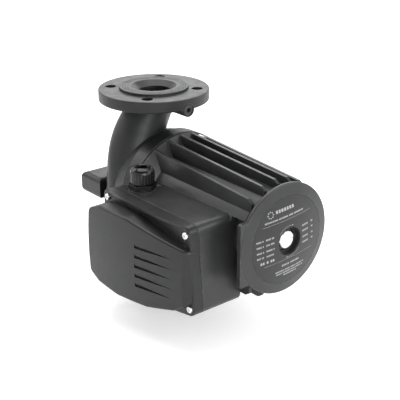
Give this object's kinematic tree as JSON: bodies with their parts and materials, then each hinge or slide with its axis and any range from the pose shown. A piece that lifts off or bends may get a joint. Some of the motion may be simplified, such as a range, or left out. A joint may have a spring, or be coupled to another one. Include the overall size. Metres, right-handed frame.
{
  "type": "circulator pump",
  "caption": "In-line flanged wet-rotor circulator pump with finned motor, side terminal box and cable gland.",
  "frame": {"origin": "centre of the lower flange's raised sealing face, on the pipe axis", "axes": "+Z along the pipe to the upper flange; motor axis 122 mm up, running towards -Y; terminal box towards -X"},
  "size_m": [0.216, 0.3179, 0.25],
  "materials": {
    "cast_paint": "semi-matt black stoving paint on cast iron",
    "housing_paint": "satin black powder coat on cast aluminium",
    "cover_plastic": "fine-grained black moulded cover",
    "gland_plastic": "glossy black polyamide",
    "label_face": null,
    "bright_chrome": "bright plated brass",
    "zinc_steel": "bright zinc plated steel",
    "seal_plug": "blackened steel",
    "stainless": "drawn stainless steel",
    "impeller_plastic": "glass-filled polymer",
    "ceramic": "ground ceramic",
    "carbon": "carbon graphite",
    "rotor_iron": "stacked electrical steel",
    "plain_aluminium": "die-cast aluminium",
    "copper_enamel": "enamelled copper wire, varnished",
    "brass_part": "turned brass",
    "seal_rubber": "black EPDM rubber",
    "block_plastic": "pale grey terminal moulding",
    "capacitor_plastic": "white capacitor can",
    "lead_insulation": "silicone lead insulation"
  },
  "bodies": {
    "pump": {"pump_casing": "cast_paint", "pressure_tap_plugs": "seal_plug", "wear_ring": "stainless", "rear_bearing": "carbon", "front_bearing": "carbon", "front_bearing_holder": "brass_part", "bearing_plate": "stainless", "casing_gasket": "seal_rubber", "rotor_can": "stainless", "stator_core": "rotor_iron", "stator_windings": "copper_enamel", "motor_housing": "housing_paint", "housing_screws": "zinc_steel", "nameplate": "label_face", "vent_bush": "gland_plastic", "box_gasket": "seal_rubber", "gland_body": "gland_plastic", "gland_o_ring": "seal_rubber", "gland_locknut": "gland_plastic", "terminal_block": "block_plastic", "terminal_screws": "brass_part", "capacitor": "capacitor_plastic", "capacitor_clip": "zinc_steel", "earth_screw": "brass_part", "lead_grommet": "seal_rubber", "motor_leads": "lead_insulation"},
    "rotor": {"impeller": "impeller_plastic", "impeller_nut": "stainless", "rotor_shaft": "ceramic", "thrust_washer": "carbon", "rotor_core": "rotor_iron", "rotor_end_rings": "plain_aluminium", "rotor_sleeve": "stainless"},
    "vent_seal": {"vent_plug_seal": "seal_rubber"},
    "vent_plug": {"vent_plug": "bright_chrome"},
    "gland_insert": {"gland_seal": "seal_rubber"},
    "gland_cap": {"gland_cap_nut": "gland_plastic"},
    "box_cover": {"terminal_box_cover": "cover_plastic", "cover_screws": "zinc_steel"}
  },
  "joints": [
    {"name": "rotor_spin", "type": "hinge", "parent": "pump", "child": "rotor", "pos_m": [0, -0.125, 0.122], "axis": [0, -1, 0], "continuous": true},
    {"name": "vent_lift", "type": "slide", "parent": "pump", "child": "vent_seal", "axis": [0, -1, 0], "range_m": [0, 0.0135]},
    {"name": "vent_turn", "type": "hinge", "parent": "vent_seal", "child": "vent_plug", "pos_m": [0, -0.24, 0.122], "axis": [0, -1, 0], "range_deg": [0, 3250]},
    {"name": "gland_lift", "type": "slide", "parent": "pump", "child": "gland_insert", "axis": [0, 0, 1], "range_m": [0, 0.0045]},
    {"name": "gland_turn", "type": "hinge", "parent": "gland_insert", "child": "gland_cap", "pos_m": [-0.08, -0.0815, 0.172], "axis": [0, 0, 1], "range_deg": [0, 1090]},
    {"name": "cover_pull", "type": "slide", "parent": "pump", "child": "box_cover", "axis": [-1, 0, 0], "range_m": [0, 0.06]}
  ],
  "couplings": [
    {"joint": "vent_turn", "follows": "vent_lift", "rad_per_m": 4188.8},
    {"joint": "gland_turn", "follows": "gland_lift", "rad_per_m": 4188.8}
  ]
}
